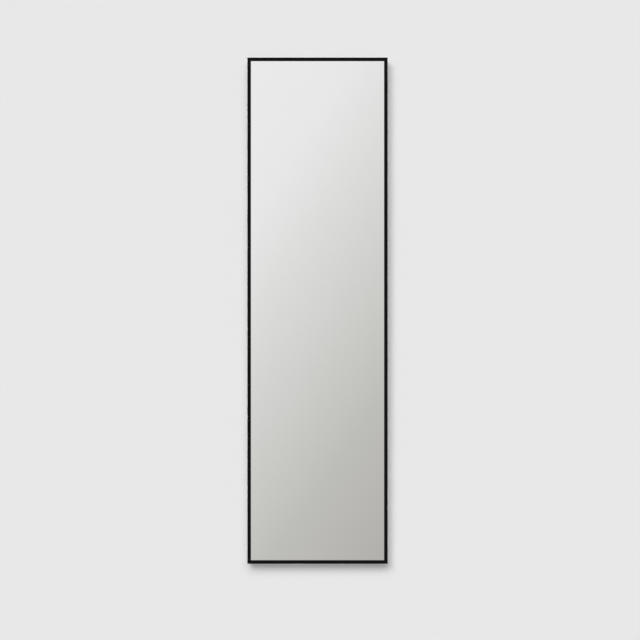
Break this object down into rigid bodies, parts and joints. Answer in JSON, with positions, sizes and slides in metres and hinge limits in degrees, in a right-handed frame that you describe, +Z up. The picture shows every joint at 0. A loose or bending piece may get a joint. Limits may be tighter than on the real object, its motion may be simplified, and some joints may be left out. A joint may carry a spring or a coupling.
{
  "type": "pull-out wardrobe mirror",
  "caption": "Tall framed wardrobe mirror that stows flat against a side panel, pulls out on ball-bearing slides and swings round on pin hinges to face the user.",
  "frame": {"origin": "centre of the four panel screw holes, on the face that lies on the side panel", "axes": "+Z up, +X the way the mirror pulls out, +Y into the side panel; the glass faces -Y"},
  "size_m": [0.338, 0.0431, 1.22],
  "materials": {
    "black_steel": "matt black powder coat",
    "zinc_steel": "bright zinc plate",
    "ball_steel": "polished",
    "black_plastic": "fine moulded grain",
    "acetal": "smooth moulded",
    "magnet": "sintered ferrite",
    "rubber": "matt",
    "black_anodised": "satin black anodised",
    "plain_aluminium": "die cast",
    "mirror_glass": "silvered on the back",
    "safety_film": "woven-look backing film",
    "foam_tape": "foam",
    "hardboard": "bare hardboard"
  },
  "bodies": {
    "panel_frame": {"rail_front": "black_steel", "rail_rear": "black_steel", "slide_outer_upper": "zinc_steel", "slide_outer_lower": "zinc_steel", "slide_stop_upper": "black_plastic", "slide_stop_lower": "black_plastic", "slide_rivets": "zinc_steel"},
    "upper_middle": {"slide_middle_upper": "zinc_steel"},
    "lower_middle": {"slide_middle_lower": "zinc_steel"},
    "carriage": {"slide_inner_upper": "zinc_steel", "slide_inner_lower": "zinc_steel", "upright_front": "black_steel", "upright_rear": "black_steel", "upright_end_caps": "black_plastic", "carriage_screws": "zinc_steel", "carriage_leaf_upper": "black_steel", "carriage_leaf_lower": "black_steel", "carriage_leaf_screws": "zinc_steel", "hinge_pin_upper": "zinc_steel", "hinge_pin_lower": "zinc_steel", "thrust_washers": "acetal", "disc_springs": "zinc_steel", "hinge_nuts": "zinc_steel", "catch_housing_upper": "black_plastic", "catch_housing_lower": "black_plastic", "magnets": "magnet", "catch_screws": "zinc_steel", "rest_pads": "rubber"},
    "mirror": {"frame_front_side": "black_anodised", "frame_rear_side": "black_anodised", "frame_top": "black_anodised", "frame_bottom": "black_anodised", "corner_key_upper_front": "plain_aluminium", "corner_key_upper_rear": "plain_aluminium", "corner_key_lower_front": "plain_aluminium", "corner_key_lower_rear": "plain_aluminium", "corner_screws": "zinc_steel", "mirror_glass": "mirror_glass", "safety_film": "safety_film", "bonding_tape": "foam_tape", "backing_board": "hardboard", "gasket_front": "rubber", "gasket_rear": "rubber", "gasket_top": "rubber", "gasket_bottom": "rubber", "mirror_leaf_upper": "black_steel", "mirror_leaf_lower": "black_steel", "mirror_leaf_screws": "zinc_steel", "nut_plates": "zinc_steel", "strike_plates": "zinc_steel"},
    "upper_outer_cage": {"outer_cage_upper": "zinc_steel", "outer_balls_upper": "ball_steel"},
    "upper_inner_cage": {"inner_cage_upper": "zinc_steel", "inner_balls_upper": "ball_steel"},
    "lower_outer_cage": {"outer_cage_lower": "zinc_steel", "outer_balls_lower": "ball_steel"},
    "lower_inner_cage": {"inner_cage_lower": "zinc_steel", "inner_balls_lower": "ball_steel"}
  },
  "joints": [
    {"name": "upper_middle_slide", "type": "slide", "parent": "panel_frame", "child": "upper_middle", "axis": [1, 0, 0], "range_m": [0, 0.15]},
    {"name": "carriage_slide", "type": "slide", "parent": "upper_middle", "child": "carriage", "axis": [1, 0, 0], "range_m": [0, 0.15]},
    {"name": "lower_middle_slide", "type": "slide", "parent": "panel_frame", "child": "lower_middle", "axis": [1, 0, 0], "range_m": [0, 0.15]},
    {"name": "upper_outer_cage_roll", "type": "slide", "parent": "panel_frame", "child": "upper_outer_cage", "axis": [1, 0, 0], "range_m": [0, 0.075]},
    {"name": "upper_inner_cage_roll", "type": "slide", "parent": "upper_middle", "child": "upper_inner_cage", "axis": [1, 0, 0], "range_m": [0, 0.075]},
    {"name": "lower_outer_cage_roll", "type": "slide", "parent": "panel_frame", "child": "lower_outer_cage", "axis": [1, 0, 0], "range_m": [0, 0.075]},
    {"name": "lower_inner_cage_roll", "type": "slide", "parent": "lower_middle", "child": "lower_inner_cage", "axis": [1, 0, 0], "range_m": [0, 0.075]},
    {"name": "mirror_swivel", "type": "hinge", "parent": "carriage", "child": "mirror", "pos_m": [0.16, -0.0177, 0], "axis": [0, 0, 1], "range_deg": [0, 105]}
  ],
  "couplings": [
    {"joint": "carriage_slide", "follows": "upper_middle_slide", "ratio": 1},
    {"joint": "lower_middle_slide", "follows": "upper_middle_slide", "ratio": 1},
    {"joint": "upper_outer_cage_roll", "follows": "upper_middle_slide", "ratio": 0.5},
    {"joint": "upper_inner_cage_roll", "follows": "upper_middle_slide", "ratio": 0.5},
    {"joint": "lower_outer_cage_roll", "follows": "upper_middle_slide", "ratio": 0.5},
    {"joint": "lower_inner_cage_roll", "follows": "upper_middle_slide", "ratio": 0.5}
  ]
}
